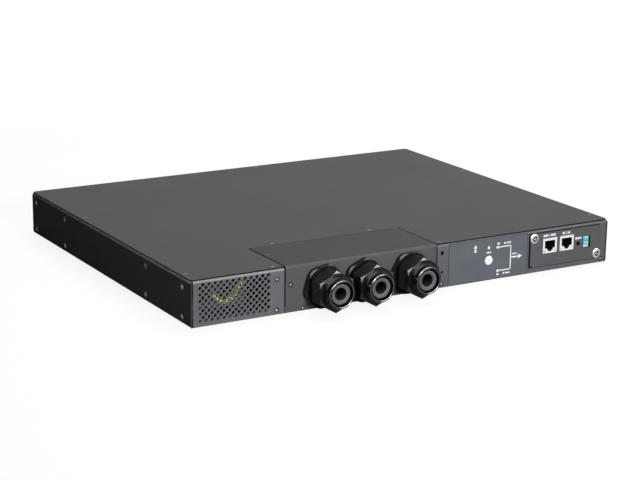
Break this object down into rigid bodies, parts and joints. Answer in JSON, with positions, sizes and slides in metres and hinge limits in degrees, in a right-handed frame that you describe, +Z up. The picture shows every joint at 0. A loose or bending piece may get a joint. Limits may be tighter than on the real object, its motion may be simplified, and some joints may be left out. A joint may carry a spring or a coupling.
{
  "type": "rack static transfer switch",
  "caption": "Flat rack chassis that moves a load between two mains feeds, with a perforated vent, cable glands, a status overlay with a button, and a network card.",
  "frame": {"origin": "centre of the chassis floor's underside, at the rest face", "axes": "+X along the gland side to the network card, +Y into the cabinet away from the glands, +Z up"},
  "size_m": [0.44, 0.3834, 0.042],
  "materials": {
    "black_coat": "fine matt powder coat",
    "lid_coat": "fine matt powder coat",
    "card_coat": "fine matt powder coat",
    "zinc_steel": "bright zinc plate",
    "black_steel": "black oxide",
    "black_nylon": "moulded nylon with a slight gloss",
    "grey_rubber": "matt rubber",
    "black_rubber": "matt rubber",
    "overlay_film": "fine grained polyester film",
    "clear_white": "milky and clear",
    "white_cap": "satin",
    "dark_plastic": "moulded",
    "board_laminate": "solder mask",
    "white_nylon": "moulded",
    "plated_shell": "bright nickel plate",
    "gold_plate": "bright",
    "green_lens": "clear lens",
    "amber_lens": "clear lens",
    "blue_plastic": "moulded",
    "white_slider": "moulded",
    "black_insulation": "extruded",
    "green_plastic": "moulded",
    "sink_aluminium": "extruded, untreated",
    "module_plastic": "moulded",
    "capacitor_sleeve": "shrink sleeve",
    "core_steel": "varnished laminations",
    "coil_tape": "wound tape",
    "earth_insulation": "green and yellow"
  },
  "bodies": {
    "chassis": {"base_tray": "black_coat", "top_lid": "lid_coat", "wiring_cover": "lid_coat", "vent_panel": "black_coat", "front_panel": "black_coat", "compartment_frame": "zinc_steel", "lid_screws": "black_steel", "cover_screws": "black_steel", "panel_screws": "zinc_steel", "left_clinch_nuts": "zinc_steel", "right_clinch_nuts": "zinc_steel", "gland_1_body": "black_nylon", "gland_2_body": "black_nylon", "gland_3_body": "black_nylon", "gland_1_seal": "grey_rubber", "gland_2_seal": "grey_rubber", "gland_3_seal": "grey_rubber", "gland_1_dome_nut": "black_nylon", "gland_2_dome_nut": "black_nylon", "gland_3_dome_nut": "black_nylon", "gland_locknuts": "black_nylon", "gland_gaskets": "black_rubber", "status_overlay": "overlay_film", "light_pipes": "clear_white", "select_switch": "dark_plastic", "display_board": "board_laminate", "display_spacers": "white_nylon", "card_plate": "card_coat", "card_board": "board_laminate", "card_riser": "board_laminate", "card_ferrules": "zinc_steel", "card_screws": "black_steel", "card_nuts": "zinc_steel", "network_jack_shell": "plated_shell", "network_jack_insert": "dark_plastic", "local_jack_shell": "plated_shell", "local_jack_insert": "dark_plastic", "jack_contacts": "gold_plate", "link_led": "green_lens", "activity_led": "amber_lens", "selector_body": "blue_plastic", "reset_switch": "dark_plastic", "terminal_blocks": "dark_plastic", "power_leads": "black_insulation", "power_terminals": "green_plastic", "power_board": "board_laminate", "board_standoffs": "zinc_steel", "heat_sink": "sink_aluminium", "thyristor_modules": "module_plastic", "filter_capacitors": "capacitor_sleeve", "transformer_core": "core_steel", "transformer_coil": "coil_tape", "earth_lead": "earth_insulation", "earth_lugs": "zinc_steel", "earth_studs": "gold_plate"},
    "select_button_body": {"select_button": "white_cap", "select_plunger": "dark_plastic"},
    "reset_body": {"reset_plunger": "dark_plastic"},
    "slider_1_body": {"selector_slider_1": "white_slider"},
    "slider_2_body": {"selector_slider_2": "white_slider"}
  },
  "joints": [
    {"name": "select_press", "type": "slide", "parent": "chassis", "child": "select_button_body", "axis": [0, 1, 0], "range_m": [0, 0.0008], "stiffness_N_per_m": 400, "springref_m": -0.002},
    {"name": "reset_press", "type": "slide", "parent": "chassis", "child": "reset_body", "axis": [0, 1, 0], "range_m": [0, 0.0004], "stiffness_N_per_m": 600, "springref_m": -0.001},
    {"name": "selector_slide_1", "type": "slide", "parent": "chassis", "child": "slider_1_body", "axis": [0, 0, 1], "range_m": [0, 0.0014]},
    {"name": "selector_slide_2", "type": "slide", "parent": "chassis", "child": "slider_2_body", "axis": [0, 0, 1], "range_m": [0, 0.0014]}
  ]
}
